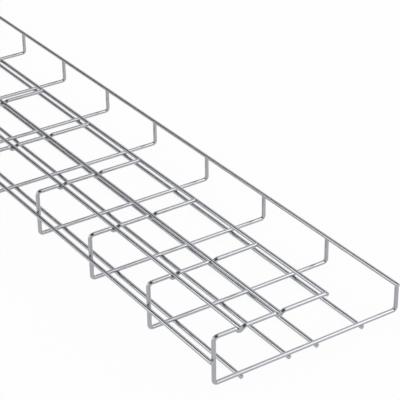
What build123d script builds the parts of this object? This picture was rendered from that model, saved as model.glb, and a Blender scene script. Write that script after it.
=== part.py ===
"""Wire mesh cable basket: a two metre length of welded wire tray.

Every cross wire is bent to the same open profile: a low wall, a flat base, a taller wall
and a return that runs back over the basket. Nine straight wires are welded along it.
Cables are laid in through the long gap between the return and the low wall.

X runs along the basket, Y from the tall wall to the low wall, and Z is up.
The origin is under the middle of the basket, at the level it lies on.
"""

import os
from math import degrees, radians, tan

from build123d import *

# Driving dimensions, in millimetres
wire_d = 4.0  # drawn wire, across the flats of its sides
wire_sides = 8
pitch = 100.0  # from one cross wire to the next
bay_count = 20  # bays in the length
basket_w = 200.0  # over the two walls
basket_h = 50.0  # tall wall, from under the cross wire to the top of the return
low_wall_h = 30.0  # low wall, from under the cross wire to the top of the side rail
return_w = 120.0  # from outside the tall wall to the free edge of the return
bend_inside_r = 2.0  # inside the bends between the base, the walls and the return
bend_step = 22.5  # degrees of turn in each short straight run of a bend
dip_inside_r = 0.5  # inside the bends of a dip in the return
dip_slope = 45.0  # degrees
dip_play = 0.15  # flat floor of a dip on each side of the wire's lower flat
wall_wire_h = 25.0  # axis of the wire on the tall wall, above the cross wire's underside
base_wire_places = [29.5, 79.5, 109.5, 159.5]  # axes, from outside the tall wall
return_wire_places = [28.0, 68.0]  # axes, from outside the tall wall

# Heights of the wires' axes
wire_r = wire_d / 2
base_wire_z = wire_r
cross_base_z = base_wire_z + wire_d
cross_under_z = cross_base_z - wire_r
return_z = cross_under_z + basket_h - wire_r
rail_z = cross_under_z + low_wall_h - wire_r
wall_wire_z = cross_under_z + wall_wire_h

# Places of the wires' axes across the basket, whose wall wire stands outside the tall wall
tall_face_y = -(basket_w + wire_d) / 2 + wire_d
tall_wall_y = tall_face_y + wire_r
low_wall_y = tall_face_y + basket_w - wire_r
wall_wire_y = tall_face_y - wire_r
return_edge_y = tall_face_y + return_w - wire_r

# The long wires end flush with the outer sides of the first and last cross wires
first_station_x = -pitch * bay_count / 2
long_wire_l = pitch * bay_count + wire_d

# Bends are measured at the wire's axis
bend_r = bend_inside_r + wire_r
dip_bend_r = dip_inside_r + wire_r

# The return dips by a wire under each wire that lies in it, so that all their tops are level
dip_depth = wire_d
half_flat = wire_r * tan(radians(180 / wire_sides))
half_floor = half_flat + dip_play + dip_bend_r * tan(radians(dip_slope / 2))
half_mouth = half_floor + dip_depth / tan(radians(dip_slope))


def wire_section():
    """Draw the wire's section with flats above, below and on both sides."""
    RegularPolygon(wire_r, wire_sides, major_radius=False, rotation=180 / wire_sides)


def long_wire(label, y, z):
    """Make one straight wire that runs the length of the basket."""
    with BuildPart() as wire:
        with BuildSketch(Plane.YZ):
            with Locations((y, z)):
                wire_section()
        extrude(amount=long_wire_l / 2, both=True)
    wire.part.label = label
    return wire.part


# The straight wires
wires = [
    long_wire("side_rail", low_wall_y, rail_z),
    long_wire("wall_wire", wall_wire_y, wall_wire_z),
    long_wire("return_edge_wire", return_edge_y, return_z),
]
for number, place in enumerate(base_wire_places, 1):
    wires.append(long_wire(f"base_wire_{number}", tall_face_y + place, base_wire_z))
for number, place in enumerate(return_wire_places, 1):
    wires.append(long_wire(f"return_wire_{number}", tall_face_y + place, return_z))

# The axis of a cross wire, from under the side rail round to the edge wire of the return
rail_end = (0, low_wall_y, rail_z - wire_r)
return_end = (0, return_edge_y - wire_r, return_z)
corners = [
    (0, low_wall_y, cross_base_z),
    (0, tall_wall_y, cross_base_z),
    (0, tall_wall_y, return_z),
]
corner_radii = [bend_r] * len(corners)
for place in return_wire_places:
    dip_y = tall_face_y + place
    corners.append((0, dip_y - half_mouth, return_z))
    corners.append((0, dip_y - half_floor, return_z - dip_depth))
    corners.append((0, dip_y + half_floor, return_z - dip_depth))
    corners.append((0, dip_y + half_mouth, return_z))
    corner_radii += [dip_bend_r] * 4
with BuildLine() as wire_axis:
    FilletPolyline(rail_end, *corners, return_end, radius=corner_radii)

# Each bend is a few short straight runs, as the wire is a few flat sides
axis_points = [wire_axis.wire() @ 0]
for edge in wire_axis.wire().order_edges():
    runs = 1
    if edge.geom_type == GeomType.CIRCLE:
        turn = degrees(edge.length / edge.radius)
        runs = max(1, round(turn / bend_step))
    axis_points += [edge @ (run / runs) for run in range(1, runs + 1)]

with BuildPart() as bent_wire:
    with BuildLine():
        Polyline(*axis_points)
    with BuildSketch(Plane(rail_end)):
        wire_section()
    sweep(transition=Transition.RIGHT)

# One cross wire stands at each station
for number in range(bay_count + 1):
    with BuildPart() as cross_wire:
        with Locations((first_station_x + number * pitch, 0, 0)):
            add(bent_wire.part)
    cross_wire.part.label = f"cross_wire_{number + 1:02d}"
    wires.append(cross_wire.part)

os.makedirs("parts", exist_ok=True)
for wire in wires:
    export_step(wire, f"parts/{wire.label}.step")
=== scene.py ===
# %% [markdown]
# # A wire mesh cable basket
#
# The basket is a length of welded wire tray. Every wire is a solid of its own in the packed
# model, with eight flat sides and bends made of short straight runs. Here each one is drawn
# again as the round wire that it really is, with smooth bends, pressed dips, cut ends and
# beads of metal at the welds. The imported model says where each wire lies, so only small things
# have to be given here.

# %% Load the imported model
import math

import bpy
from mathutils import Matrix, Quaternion, Vector


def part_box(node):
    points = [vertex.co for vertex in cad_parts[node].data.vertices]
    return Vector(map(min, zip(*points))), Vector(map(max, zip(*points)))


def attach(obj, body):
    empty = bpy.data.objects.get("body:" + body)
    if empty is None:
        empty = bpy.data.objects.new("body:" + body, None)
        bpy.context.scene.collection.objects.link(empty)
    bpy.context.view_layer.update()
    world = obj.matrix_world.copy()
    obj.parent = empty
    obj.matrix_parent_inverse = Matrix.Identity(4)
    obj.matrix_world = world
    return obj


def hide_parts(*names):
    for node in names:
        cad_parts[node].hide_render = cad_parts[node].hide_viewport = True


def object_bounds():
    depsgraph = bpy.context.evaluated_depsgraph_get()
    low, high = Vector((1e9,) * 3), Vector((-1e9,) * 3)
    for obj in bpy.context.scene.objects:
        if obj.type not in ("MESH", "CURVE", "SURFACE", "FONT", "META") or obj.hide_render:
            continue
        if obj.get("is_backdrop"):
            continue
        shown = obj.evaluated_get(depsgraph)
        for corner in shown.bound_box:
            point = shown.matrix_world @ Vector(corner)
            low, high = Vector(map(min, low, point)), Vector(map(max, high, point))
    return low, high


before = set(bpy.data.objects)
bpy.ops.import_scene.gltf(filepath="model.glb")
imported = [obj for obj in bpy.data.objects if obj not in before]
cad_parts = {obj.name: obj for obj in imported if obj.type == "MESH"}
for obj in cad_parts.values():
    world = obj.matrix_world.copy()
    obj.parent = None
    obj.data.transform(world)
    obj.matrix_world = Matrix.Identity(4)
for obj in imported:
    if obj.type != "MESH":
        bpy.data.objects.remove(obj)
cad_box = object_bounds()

print("CAD box, in metres:", [[round(value, 4) for value in corner] for corner in cad_box])

# %% [markdown]
# ## Sizes
#
# A wire's box gives its thickness and the line of its axis. The boxes of the cross wires and
# of the wires welded to them give the whole profile. So the only sizes written down in this
# script are those that a box can't tell, such as the radius of a bend.

# %% Measure the wires
MM = 0.001

low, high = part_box("base_wire_1")
wire_r = (high.z - low.z) / 2
long_start_x = low.x
long_end_x = high.x

LONG_NODES = [
    "side_rail",
    "wall_wire",
    "return_edge_wire",
    "base_wire_1",
    "base_wire_2",
    "base_wire_3",
    "base_wire_4",
    "return_wire_1",
    "return_wire_2",
]
CROSS_NODES = sorted(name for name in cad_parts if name.startswith("cross_wire_"))


def middle(node):
    """Give the middle of a node's box, which is on the axis of a straight wire."""
    low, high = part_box(node)
    return (low + high) / 2


low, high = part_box(CROSS_NODES[0])
tall_wall_y = low.y + wire_r
low_wall_y = high.y - wire_r
base_z = low.z + wire_r
return_z = high.z - wire_r
rail = middle("side_rail")
return_edge = middle("return_edge_wire")
print("Wire:", 2 * wire_r / MM, "mm,", len(LONG_NODES), "long and", len(CROSS_NODES), "cross")

# %% [markdown]
# ## Colours and nodes
#
# Colours are written the way a colour picker shows them, as sRGB hex values. Blender's shaders
# want linear light, so one function turns them over. A second small function adds a node, sets
# it and links it, which keeps each material short enough to read.

# %% Helpers for materials
def srgb(code):
    """Turn a hex colour into the linear colour that shaders use."""
    channels = [int(code[i : i + 2], 16) / 255 for i in (1, 3, 5)]
    linear = [c / 12.92 if c <= 0.04045 else ((c + 0.055) / 1.055) ** 2.4 for c in channels]
    return (*linear, 1.0)


def add_node(tree, kind, inputs, **settings):
    """Add a node, set its properties, and set or link each of its inputs."""
    node = tree.nodes.new(kind)
    for name, value in settings.items():
        setattr(node, name, value)
    for socket, value in inputs.items():
        if isinstance(value, bpy.types.NodeSocket):
            tree.links.new(value, node.inputs[socket])
        else:
            node.inputs[socket].default_value = value
    return node


def new_material(name):
    """Start a material with an empty node tree, and give both."""
    material = bpy.data.materials.new(name)
    material.use_nodes = True
    material.node_tree.nodes.clear()
    return material, material.node_tree


print("Mid grey in linear light:", round(srgb("#808080")[0], 3))

# %% [markdown]
# ## Zinc-plated drawn wire
#
# The wire is mild steel, pulled through a die and plated with zinc after welding. Zinc gives a
# bright, slightly blue grey with soft reflections. The die leaves faint lines along the wire,
# and the plating is a little cloudy. Object coordinates would cut straight through the bends,
# so the patterns read an attribute of the wire's own, which holds the distance along the wire
# and the place around it.

# %% The wire's finish
DRAWN = "drawn"
CLOUD_SIZE = 9 * MM
# Real die lines are finer and would not show, so they are drawn this coarse
DIE_LINE_SPACING = 0.5 * MM
DIE_LINE_LENGTH = 30 * MM

zinc_wire, tree = new_material("zinc_plated_drawn_wire")
along = add_node(tree, "ShaderNodeAttribute", {}, attribute_name=DRAWN)
stretched = add_node(
    tree,
    "ShaderNodeMapping",
    {"Vector": along.outputs["Vector"], "Scale": (DIE_LINE_SPACING / DIE_LINE_LENGTH, 1, 1)},
)
die_lines = add_node(
    tree,
    "ShaderNodeTexNoise",
    {"Vector": stretched.outputs["Vector"], "Scale": 1 / DIE_LINE_SPACING, "Detail": 2.0},
)
clouds = add_node(
    tree,
    "ShaderNodeTexNoise",
    {"Vector": along.outputs["Vector"], "Scale": 1 / CLOUD_SIZE, "Detail": 3.0},
)
colour = add_node(
    tree,
    "ShaderNodeMix",
    {"Factor": clouds.outputs["Fac"], "A": srgb("#a4a5a9"), "B": srgb("#aeafb3")},
    data_type="RGBA",
)
roughness = add_node(
    tree,
    "ShaderNodeMapRange",
    {
        "Value": clouds.outputs["Fac"],
        "From Min": 0.3,
        "From Max": 0.7,
        "To Min": 0.12,
        "To Max": 0.2,
    },
)
bump = add_node(
    tree,
    "ShaderNodeBump",
    {"Height": die_lines.outputs["Fac"], "Strength": 0.03, "Distance": 0.1 * MM},
)
shader = add_node(
    tree,
    "ShaderNodeBsdfPrincipled",
    {
        "Base Color": colour.outputs["Result"],
        "Metallic": 1.0,
        "Roughness": roughness.outputs["Result"],
        "Normal": bump.outputs["Normal"],
    },
)
add_node(tree, "ShaderNodeOutputMaterial", {"Surface": shader.outputs["BSDF"]})
print("Finish:", zinc_wire.name)

# %% [markdown]
# ## Cut ends and weld beads
#
# The ends of the long wires are sheared, and the welds squeeze out a little metal. The plating
# covers both, but they are rougher than the wire, so they show no sharp lines of the room. A
# cut is torn in fine ridges and looks an even pale grey. A bead is lumpy and a little darker.
# Neither follows a wire, so Object coordinates are enough for them.

# %% The finish of the cuts
RIDGE_WIDTH = 0.35 * MM
RIDGE_STRETCH = 5

sheared_end, tree = new_material("zinc_plated_sheared_end")
place = add_node(tree, "ShaderNodeTexCoord", {})
flattened = add_node(
    tree,
    "ShaderNodeMapping",
    {"Vector": place.outputs["Object"], "Scale": (1, 1 / RIDGE_STRETCH, 1)},
)
ridges = add_node(
    tree,
    "ShaderNodeTexNoise",
    {"Vector": flattened.outputs["Vector"], "Scale": 1 / RIDGE_WIDTH, "Detail": 2.0},
)
bump = add_node(
    tree,
    "ShaderNodeBump",
    {"Height": ridges.outputs["Fac"], "Strength": 0.4, "Distance": 0.1 * MM},
)
shader = add_node(
    tree,
    "ShaderNodeBsdfPrincipled",
    {
        "Base Color": srgb("#b3b5ba"),
        "Metallic": 1.0,
        "Roughness": 0.45,
        "Normal": bump.outputs["Normal"],
    },
)
add_node(tree, "ShaderNodeOutputMaterial", {"Surface": shader.outputs["BSDF"]})
print("Finish:", sheared_end.name)

# %% The finish of the beads
BEAD_LUMP = 0.6 * MM

weld_bead, tree = new_material("zinc_plated_weld_bead")
place = add_node(tree, "ShaderNodeTexCoord", {})
lumps = add_node(
    tree,
    "ShaderNodeTexNoise",
    {"Vector": place.outputs["Object"], "Scale": 1 / BEAD_LUMP, "Detail": 2.0},
)
bump = add_node(
    tree,
    "ShaderNodeBump",
    {"Height": lumps.outputs["Fac"], "Strength": 0.3, "Distance": 0.1 * MM},
)
shader = add_node(
    tree,
    "ShaderNodeBsdfPrincipled",
    {
        "Base Color": srgb("#96989d"),
        "Metallic": 1.0,
        "Roughness": 0.4,
        "Normal": bump.outputs["Normal"],
    },
)
add_node(tree, "ShaderNodeOutputMaterial", {"Surface": shader.outputs["BSDF"]})
print("Finish:", weld_bead.name)

# %% [markdown]
# Every piece gets the same list of three finishes, so a face's finish is a number in that list.

# %% The list of finishes
FINISHES = [zinc_wire, sheared_end, weld_bead]
WIRE, END, BEAD = range(len(FINISHES))
print("Finishes:", len(FINISHES))

# %% [markdown]
# ## Working by hand, in code
#
# Operators act on whatever is selected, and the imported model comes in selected. So each piece
# starts by clearing the selection. A finished piece is copied with its own mesh and is moved to
# its place in that mesh, so every object stays at the origin.

# %% Helpers for modelling
WIRE_SIDES = 24
SMOOTH_BELOW = math.radians(40)


def clear_selection():
    """Leave edit mode and deselect everything."""
    if bpy.context.mode != "OBJECT":
        bpy.ops.object.mode_set(mode="OBJECT")
    bpy.ops.object.select_all(action="DESELECT")


def edit(piece):
    """Open one piece in edit mode with all of it selected."""
    clear_selection()
    piece.select_set(True)
    bpy.context.view_layer.objects.active = piece
    bpy.ops.object.mode_set(mode="EDIT")
    bpy.ops.mesh.select_all(action="SELECT")


def copy_to(model, name, shift):
    """Copy a piece with its own mesh, and move the copy in its mesh."""
    piece = model.copy()
    piece.data = model.data.copy()
    piece.name = name
    piece.data.name = name
    bpy.context.collection.objects.link(piece)
    edit(piece)
    bpy.ops.transform.translate(value=shift)
    clear_selection()
    return piece


def stand_for(piece, node):
    """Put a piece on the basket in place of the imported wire."""
    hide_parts(node)
    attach(piece, "root")


def give_finishes(piece):
    """Give a piece the three finishes, with the wire's own on every face."""
    piece.data.materials.clear()
    for material in FINISHES:
        piece.data.materials.append(material)


print("Sides of a round wire:", WIRE_SIDES)

# %% [markdown]
# ## The straight wires
#
# Nine straight wires run the length of the basket. One is modelled: a filled circle is extruded
# along X, and the edges of both cuts are rounded a little, as a shear rolls them over. A short
# step before each cut holds the shading: without it, the tilt of the rounding would be spread
# over two metres of wire.

# %% One straight wire
END_LAND = 1 * MM

clear_selection()
bpy.ops.mesh.primitive_circle_add(
    vertices=WIRE_SIDES,
    radius=wire_r,
    fill_type="NGON",
    location=(long_start_x, 0, 0),
    rotation=(0, math.pi / 2, 0),
)
straight_wire = bpy.context.object
straight_wire.name = "straight_wire"
bpy.ops.object.transform_apply(location=True, rotation=True, scale=True)
edit(straight_wire)
for run in (END_LAND, long_end_x - long_start_x - 2 * END_LAND, END_LAND):
    bpy.ops.mesh.extrude_region_move(TRANSFORM_OT_translate={"value": (run, 0, 0)})
bpy.ops.mesh.select_all(action="SELECT")
bpy.ops.mesh.normals_make_consistent(inside=False)
print("Straight wire:", round((long_end_x - long_start_x) / MM, 1), "mm")

# %% Round the edges of the cuts
CUT_ROUNDING = 0.3 * MM
CUT_STEPS = 2

bpy.ops.mesh.select_mode(type="FACE")
bpy.ops.mesh.select_all(action="DESELECT")
bpy.ops.object.mode_set(mode="OBJECT")
for face in straight_wire.data.polygons:
    face.select = len(face.vertices) == WIRE_SIDES
bpy.ops.object.mode_set(mode="EDIT")
bpy.ops.mesh.bevel(offset=CUT_ROUNDING, segments=CUT_STEPS, affect="EDGES")
bpy.ops.object.mode_set(mode="OBJECT")
bpy.ops.object.shade_smooth_by_angle(angle=SMOOTH_BELOW)
print("Straight wire:", len(straight_wire.data.polygons), "faces")

# %% [markdown]
# The two cuts are the only faces with as many corners as the wire has sides, so they are easy to
# find. The drawn pattern needs the distance along the wire and the place around it, and on a
# straight wire that lies on the X axis those are the coordinates of each point.

# %% Finish the straight wire
give_finishes(straight_wire)
for face in straight_wire.data.polygons:
    face.material_index = END if len(face.vertices) == WIRE_SIDES else WIRE
drawn = straight_wire.data.attributes.new(DRAWN, "FLOAT_VECTOR", "POINT")
for point, value in zip(straight_wire.data.vertices, drawn.data):
    value.vector = point.co
print("Drawn pattern:", len(drawn.data), "points")

# %% [markdown]
# Each wire goes to the axis of its packed wire. Two small things are given here. The wall
# wire sank into its welds when it was pressed on, so it stands a little closer to the wall. The
# base wires were cut a little short, so a scale along X about the middle trims both ends.

# %% The nine straight wires
BASE_TRIM = 1 * MM
WALL_SINK = 0.9 * MM

wall_axis = middle("wall_wire") + Vector((0, WALL_SINK, 0))
for node in LONG_NODES:
    axis = wall_axis if node == "wall_wire" else middle(node)
    piece = copy_to(straight_wire, f"round_{node}", (0, axis.y, axis.z))
    if "base" in node:
        edit(piece)
        shorter = 1 - BASE_TRIM / long_end_x
        bpy.ops.transform.resize(value=(shorter, 1, 1), center_override=(0, 0, 0))
        clear_selection()
    stand_for(piece, node)
bpy.data.objects.remove(straight_wire)
print("Straight wires:", len(LONG_NODES))

# %% [markdown]
# ## The bent cross wire
#
# A cross wire is one wire bent round a former. A curve with a round bevel could give it, but it
# is drawn here the way it is bent. A ring of points starts inside the side rail, is extruded
# along each straight run, and is spun round the centre of each bend. A pen keeps the place of
# the ring's middle.

# %% Start the cross wire in the side rail
clear_selection()
bpy.ops.mesh.primitive_circle_add(
    vertices=WIRE_SIDES, radius=wire_r, fill_type="NOTHING", location=(0, rail.y, rail.z)
)
bent_wire = bpy.context.object
bent_wire.name = "bent_wire"
bpy.ops.object.transform_apply(location=True, rotation=True, scale=True)
edit(bent_wire)
pen = Vector((0, rail.y, rail.z))
print("Start:", [round(value / MM, 1) for value in pen], "mm")

# %% [markdown]
# Down the low wall, along the base and up the tall wall, each bend is a quarter turn. The two
# bends of the base are a little tighter than the bend into the return. A short step at each end
# of a run holds the shading, as on the straight wires.

# %% The low wall, the base and the tall wall
BASE_BEND_R = 3.5 * MM
TOP_BEND_R = 4 * MM
STEP_DEGREES = 9
RUN_LAND = 0.5 * MM


def run_to(y, z):
    """Extrude the wire straight to a point of its axis, with a short step at each end."""
    target = Vector((0, y, z))
    whole = target - pen
    short = whole.normalized() * min(RUN_LAND, whole.length / 3)
    for step in (short, whole - 2 * short, short):
        bpy.ops.mesh.extrude_edges_move(TRANSFORM_OT_translate={"value": step})
    pen[:] = target


def bend_about(y, z, degrees):
    """Spin the wire about a centre, anticlockwise as seen from the near end."""
    centre = Vector((0, y, z))
    angle = math.radians(degrees)
    steps = round(abs(degrees) / STEP_DEGREES)
    # The operator counts its angle clockwise
    bpy.ops.mesh.spin(steps=steps, angle=-angle, center=centre, axis=(1, 0, 0))
    arm = pen - centre
    turned = Vector(
        (
            0,
            arm.y * math.cos(angle) - arm.z * math.sin(angle),
            arm.y * math.sin(angle) + arm.z * math.cos(angle),
        )
    )
    pen[:] = centre + turned


run_to(low_wall_y, base_z + BASE_BEND_R)
bend_about(low_wall_y - BASE_BEND_R, base_z + BASE_BEND_R, -90)
run_to(tall_wall_y + BASE_BEND_R, base_z)
bend_about(tall_wall_y + BASE_BEND_R, base_z + BASE_BEND_R, -90)
run_to(tall_wall_y, return_z - TOP_BEND_R)
bend_about(tall_wall_y + TOP_BEND_R, return_z - TOP_BEND_R, -90)
print("Drawn to:", [round(value / MM, 1) for value in pen], "mm")

# %% [markdown]
# The return is pressed down under each wire that lies in it. A dip is 3 mm deep and its wire is
# 4 mm thick, so the wire sinks 1 mm into its weld, and its top is level with the return. Each
# side of a dip is a rounded shoulder, a short straight slope and half of a rounded floor, and
# the side towards the free edge is gentler. The depth, the slope and the two radii give the
# width of a side.

# %% The return and its dips
DIP_DEPTH = 3 * MM
DIP_R = 2.5 * MM
WALL_SLOPE = 45
WALL_SHOULDER_R = 3 * MM
EDGE_SLOPE = 34
EDGE_SHOULDER_R = 4 * MM


def dip_side(slope_degrees, shoulder_r):
    """Give the fall, the reach and the half mouth of one side of a dip."""
    slope = math.radians(slope_degrees)
    fall = DIP_DEPTH - (shoulder_r + DIP_R) * (1 - math.cos(slope))
    reach = fall / math.tan(slope)
    return fall, reach, (shoulder_r + DIP_R) * math.sin(slope) + reach


wall_fall, wall_reach, wall_mouth = dip_side(WALL_SLOPE, WALL_SHOULDER_R)
edge_fall, edge_reach, edge_mouth = dip_side(EDGE_SLOPE, EDGE_SHOULDER_R)
for node in ("return_wire_1", "return_wire_2"):
    dip_y = middle(node).y
    run_to(dip_y - wall_mouth, return_z)
    bend_about(dip_y - wall_mouth, return_z - WALL_SHOULDER_R, -WALL_SLOPE)
    run_to(pen.y + wall_reach, pen.z - wall_fall)
    bend_about(dip_y, return_z - DIP_DEPTH + DIP_R, WALL_SLOPE + EDGE_SLOPE)
    run_to(pen.y + edge_reach, pen.z + edge_fall)
    bend_about(dip_y + edge_mouth, return_z - EDGE_SHOULDER_R, -EDGE_SLOPE)
run_to(return_edge.y, return_z)
print("Mouth of a dip:", round((wall_mouth + edge_mouth) / MM, 1), "mm")

# %% [markdown]
# The ends of a cross wire are out of sight, in the side rail and in the edge wire. They are
# filled all the same: only a closed mesh has an inside and an outside, so that Blender can turn
# all its faces outwards.

# %% Close the ends of the cross wire
bpy.ops.mesh.select_all(action="SELECT")
bpy.ops.mesh.fill_holes(sides=0)
bpy.ops.mesh.normals_make_consistent(inside=False)
bpy.ops.object.mode_set(mode="OBJECT")
bpy.ops.object.shade_smooth_by_angle(angle=SMOOTH_BELOW)
give_finishes(bent_wire)
print("Cross wire:", len(bent_wire.data.polygons), "faces")

# %% [markdown]
# The points of the wire were made ring by ring, so the distance along the wire is the sum of
# the steps from one ring's middle to the next.

# %% Measure along the cross wire
points = bent_wire.data.vertices
drawn = bent_wire.data.attributes.new(DRAWN, "FLOAT_VECTOR", "POINT")
distance = 0.0
last_middle = None
for first in range(0, len(points), WIRE_SIDES):
    ring = range(first, first + WIRE_SIDES)
    ring_middle = sum((points[i].co for i in ring), Vector()) / WIRE_SIDES
    if last_middle is not None:
        distance += (ring_middle - last_middle).length
    last_middle = ring_middle
    for i in ring:
        turn = 2 * math.pi * (i - first) / WIRE_SIDES
        around = (wire_r * math.cos(turn), wire_r * math.sin(turn))
        drawn.data[i].vector = (distance, *around)
print("Wire in one cross wire:", round(distance / MM, 1), "mm")

# %% [markdown]
# ## Weld beads
#
# Each crossing is a resistance weld: the two wires are pressed together hot, and a little metal
# comes out round the contact. One bead is a small ball pressed flat, with few faces because it
# is repeated at so many crossings. It is copied to the crossings of one cross wire before that
# wire is copied, so each cross wire brings its own beads. On the wall the bead is turned, so
# that it lies between the two wires there too.

# %% One weld bead
BEAD_R = 1.7 * MM
BEAD_HALF_THICKNESS = 0.5 * MM
BEAD_SIDES = 10
BEAD_RINGS = 5

clear_selection()
bpy.ops.mesh.primitive_uv_sphere_add(segments=BEAD_SIDES, ring_count=BEAD_RINGS, radius=BEAD_R)
bead = bpy.context.object
bead.name = "weld_bead"
edit(bead)
bpy.ops.transform.resize(value=(1, 1, BEAD_HALF_THICKNESS / BEAD_R))
bpy.ops.object.mode_set(mode="OBJECT")
bpy.ops.object.shade_smooth()
give_finishes(bead)
for face in bead.data.polygons:
    face.material_index = BEAD
bead_wall = copy_to(bead, "weld_bead_on_wall", (0, 0, 0))
edit(bead_wall)
bpy.ops.transform.rotate(
    value=math.pi / 2, orient_axis="X", orient_type="GLOBAL", center_override=(0, 0, 0)
)
clear_selection()
print("Weld bead:", len(bead.data.polygons), "faces")

# %% Beads on the cross wire
crossings = []
for node in LONG_NODES:
    if "base" in node:
        crossings.append((bead, Vector((0, middle(node).y, base_z - wire_r))))
for node in ("return_wire_1", "return_wire_2"):
    crossings.append((bead, Vector((0, middle(node).y, return_z - wire_r))))
crossings.append((bead_wall, Vector((0, (wall_axis.y + tall_wall_y) / 2, wall_axis.z))))
beads = [copy_to(model, f"bead_{i}", place) for i, (model, place) in enumerate(crossings)]
clear_selection()
for piece in beads:
    piece.select_set(True)
bent_wire.select_set(True)
bpy.context.view_layer.objects.active = bent_wire
bpy.ops.object.join()
for model in (bead, bead_wall):
    bpy.data.objects.remove(model)
print("Beads on each cross wire:", len(crossings))

# %% [markdown]
# The cross wire is now whole, and a copy of it goes to each place along the basket.

# %% The cross wires
for node in CROSS_NODES:
    piece = copy_to(bent_wire, f"round_{node}", (middle(node).x, 0, 0))
    stand_for(piece, node)
bpy.data.objects.remove(bent_wire)
print("Cross wires:", len(CROSS_NODES))

# %% [markdown]
# ## The studio
#
# Bright metal has hardly any colour of its own: it shows the room. So the room is made for the
# wires to show. A white floor and white walls all round give each wire its plain grey, two soft
# boxes draw the white lines along it, and grey cloths, which photographers call flags, draw the
# dark ones.
#
# The floor could be made white by strong lamps, but they would wash out the wires. So the floor
# glows for the rays that come from the camera or from a reflection, and a small share of its
# own paint is left in, so that it keeps the basket's soft shadow.

# %% Floor
FLOOR_SIZE = 40.0
SHADOW_SHARE = 0.06

clear_selection()
bpy.ops.mesh.primitive_plane_add(size=FLOOR_SIZE, location=(0, 0, 0))
floor = bpy.context.object
floor.name = "floor"
floor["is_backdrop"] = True

white_floor, tree = new_material("white_floor")
rays = add_node(tree, "ShaderNodeLightPath", {})
seen = add_node(
    tree,
    "ShaderNodeMath",
    {0: rays.outputs["Is Camera Ray"], 1: rays.outputs["Is Glossy Ray"]},
    operation="MAXIMUM",
)
seen_all = add_node(
    tree,
    "ShaderNodeMath",
    {0: seen.outputs["Value"], 1: rays.outputs["Is Transmission Ray"]},
    operation="MAXIMUM",
)
glow_share = add_node(
    tree,
    "ShaderNodeMath",
    {0: seen_all.outputs["Value"], 1: 1 - SHADOW_SHARE},
    operation="MULTIPLY",
)
paint = add_node(tree, "ShaderNodeBsdfDiffuse", {"Color": srgb("#fcfcfc")})
glow = add_node(tree, "ShaderNodeEmission", {"Color": srgb("#ffffff"), "Strength": 1.0})
blend = add_node(
    tree,
    "ShaderNodeMixShader",
    {0: glow_share.outputs["Value"], 1: paint.outputs["BSDF"], 2: glow.outputs["Emission"]},
)
add_node(tree, "ShaderNodeOutputMaterial", {"Surface": blend.outputs["Shader"]})
floor.data.materials.append(white_floor)
print("Floor:", FLOOR_SIZE, "m")

# %% [markdown]
# The walls are the world's plain white, so they are the same from every side.

# %% White walls
world = bpy.data.worlds.new("studio")
world.use_nodes = True
tree = world.node_tree
tree.nodes.clear()
walls = add_node(tree, "ShaderNodeBackground", {"Color": srgb("#ffffff"), "Strength": 1.0})
add_node(tree, "ShaderNodeOutputWorld", {"Surface": walls.outputs["Background"]})
bpy.context.scene.world = world
print("World:", world.name)

# %% [markdown]
# Soft boxes and flags are flat panels that face the basket from a few metres away. Each one is
# given by the part of the room that it fills, seen from the basket: from one bearing to another,
# counted anticlockwise from +X, and from one height above the horizon to another. A roll leans
# the panel to one side. Then its edge crosses the reflection of a wire at a slant, and the line
# on the wire fades along its length.

# %% Helper for panels
STUDIO_AIM = Vector((0.7, 0.0, 0.03))
STUDIO_R = 8.0


def panel_place(bearings, heights, roll=0):
    """Give the place, turn, width and height of a panel from its limits and roll in degrees."""
    bearing = math.radians(sum(bearings) / 2)
    height = math.radians(sum(heights) / 2)
    flat = math.cos(height)
    away = Vector((flat * math.cos(bearing), flat * math.sin(bearing), math.sin(height)))
    turn = (-away).to_track_quat("-Z", "Y") @ Quaternion((0, 0, 1), math.radians(roll))
    half_width = math.radians(bearings[1] - bearings[0]) / 2 * flat
    half_height = math.radians(heights[1] - heights[0]) / 2
    size = [2 * STUDIO_R * math.tan(half) for half in (half_width, half_height)]
    return STUDIO_AIM + STUDIO_R * away, turn.to_euler(), size


print("Panels face the basket from", STUDIO_R, "m away")

# %% [markdown]
# A lamp in a reflection is see-through: its brightness is added to the wall behind it. A
# rectangular area lamp of 4 watts per square metre is as bright as a wall of strength 1, so a
# brightness can be written as a number of such walls.

# %% Soft boxes
WATTS_AS_WALL = 4


def soft_box(name, brightness, bearings, heights, roll=0):
    """Add a lamp panel that is as bright as this many white walls."""
    place, turn, size = panel_place(bearings, heights, roll)
    lamp = bpy.data.lights.new(name, "AREA")
    lamp.shape = "RECTANGLE"
    lamp.size, lamp.size_y = size
    lamp.energy = WATTS_AS_WALL * size[0] * size[1] * brightness
    lamp_object = bpy.data.objects.new(name, lamp)
    lamp_object.location = place
    lamp_object.rotation_euler = turn
    bpy.context.collection.objects.link(lamp_object)
    print("Soft box:", name, [round(side, 1) for side in size], "m,", round(lamp.energy), "W")


soft_box("tall_side_box", 1.3, (-139, -108), (6, 43))
soft_box("low_side_box", 1.7, (25, 63), (8, 58), -63)

# %% [markdown]
# The long wires show the flags at the far end of the room, as dark lines. The flag round the
# camera and the cloth on the ceiling hang where the straight runs hardly show them. The bends and
# dips turn far enough to show them, and each gets a small dark spot. Those spots are the darkest
# parts of the basket, so the camera's flag is of a darker cloth.

# %% Cloths
def plain_cloth(name, code):
    """Make a matt cloth of one colour."""
    cloth, tree = new_material(name)
    shader = add_node(tree, "ShaderNodeBsdfDiffuse", {"Color": srgb(code)})
    add_node(tree, "ShaderNodeOutputMaterial", {"Surface": shader.outputs["BSDF"]})
    print("Cloth:", name, code)
    return cloth


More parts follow.
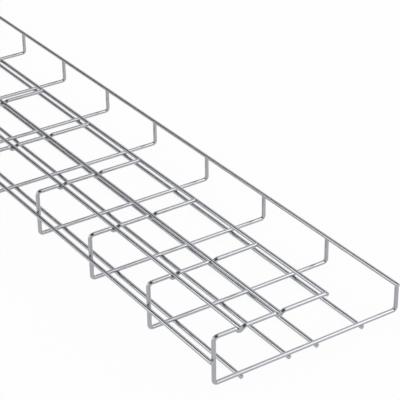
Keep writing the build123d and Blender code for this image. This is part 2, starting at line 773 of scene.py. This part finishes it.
grey_cloth = plain_cloth("grey_cloth", "#707070")
charcoal_cloth = plain_cloth("charcoal_cloth", "#484848")

# %% Flags
CEILING_SIZE = (4.5, 4.0)
CEILING_SHIFT = Vector((0, -1.5, STUDIO_R))


def hang_cloth(name, material, place, turn, size):
    """Hang a cloth in the room, out of the camera's sight."""
    clear_selection()
    bpy.ops.mesh.primitive_plane_add(size=1, location=place, rotation=turn)
    cloth = bpy.context.object
    cloth.name = name
    cloth.scale = (*size, 1)
    bpy.ops.object.transform_apply(location=True, rotation=True, scale=True)
    cloth.data.materials.append(material)
    cloth.visible_camera = False
    cloth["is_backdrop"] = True
    print("Flag:", name, [round(side, 1) for side in size], "m")


hang_cloth("far_flag", grey_cloth, *panel_place((-180, -139.5), (9, 58)))
hang_cloth("top_flag", grey_cloth, *panel_place((125, 200), (50, 72)))
hang_cloth("camera_flag", charcoal_cloth, *panel_place((-62, 62), (21, 71), -44))
hang_cloth("low_flag", grey_cloth, *panel_place((4, 26), (-2, 8)))
hang_cloth("ceiling", grey_cloth, STUDIO_AIM + CEILING_SHIFT, (0, 0, 0), CEILING_SIZE)

# %% [markdown]
# ## The camera
#
# The camera looks down the basket from above its near end, outside the tall wall. A long lens
# from about a metre and a half away keeps the wires nearly parallel. The Standard view transform
# shows a colour as it is written.

# %% Camera
camera = bpy.data.cameras.new("camera")
camera.sensor_width = 36
camera.lens = 135.48
camera_object = bpy.data.objects.new("camera", camera)
camera_object.location = (1.84256, -0.66493, 0.74645)
camera_object.rotation_euler = [math.radians(a) for a in (60.8894, 0.6652, 56.1376)]
bpy.context.collection.objects.link(camera_object)
bpy.context.scene.camera = camera_object
bpy.context.scene.view_settings.view_transform = "Standard"
print("Camera:", camera.lens, "mm lens at", [round(value, 2) for value in camera_object.location])

# %% [markdown]
# ## Sizes, and the end
#
# Both boxes, of the imported model and of the round wires, are printed, so that they can be
# compared. The round wires have to stay within the box of the imported model.

# %% Print the boxes and finish
boxes = {"cad": cad_box, "visual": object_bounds()}
boxes = {name: [list(corner) for corner in box] for name, box in boxes.items()}
print("Boxes, in metres:", boxes)
